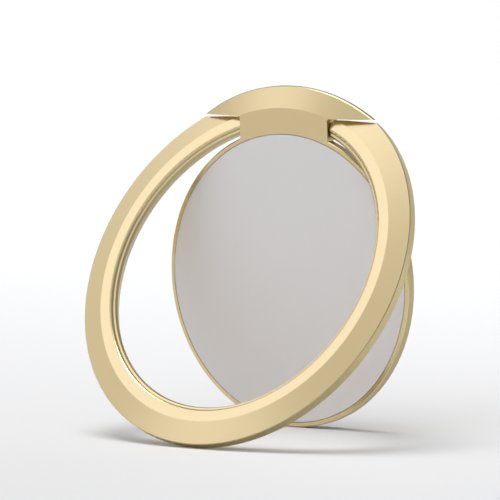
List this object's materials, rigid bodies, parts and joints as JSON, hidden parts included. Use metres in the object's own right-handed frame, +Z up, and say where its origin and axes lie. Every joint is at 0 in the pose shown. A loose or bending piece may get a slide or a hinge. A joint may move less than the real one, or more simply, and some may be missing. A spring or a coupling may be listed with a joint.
{
  "type": "phone ring holder",
  "caption": "Folding phone ring holder: a flat round plate in a gold rim with a neck and a crescent cap, and a bevelled C-shaped finger ring that opens as a grip or a stand.",
  "frame": {"origin": "middle of the adhesive pad's back face", "axes": "+Y out of the back, into the phone; +Z up, from the middle of the plate towards the hinge; +X along the hinge, to the right as seen from the front"},
  "size_m": [0.0408, 0.0197, 0.0363],
  "materials": {
    "gold": "satin gold plating on a die-cast ring and frame",
    "grey_plate": "fine satin grey, no grain to be seen",
    "pin_steel": "ground steel pin",
    "base_steel": "plain pressed steel",
    "washer_plastic": "natural nylon",
    "pad_foam": "matte acrylic foam tape"
  },
  "bodies": {
    "base": {"face_plate": "grey_plate", "slip_washer": "washer_plastic", "base_plate": "base_steel", "adhesive_pad": "pad_foam"},
    "frame": {"swivel_frame": "gold", "hinge_pin_left": "pin_steel", "hinge_pin_right": "pin_steel"},
    "ring": {"finger_ring": "gold"}
  },
  "joints": [
    {"name": "rim_swivel", "type": "hinge", "parent": "base", "child": "frame", "pos_m": [0, 0, 0], "axis": [0, -1, 0], "continuous": true},
    {"name": "ring_hinge", "type": "hinge", "parent": "frame", "child": "ring", "pos_m": [0, -0.00122, 0.0162], "axis": [-1, 0, 0], "range_deg": [-30.32, 80]}
  ]
}
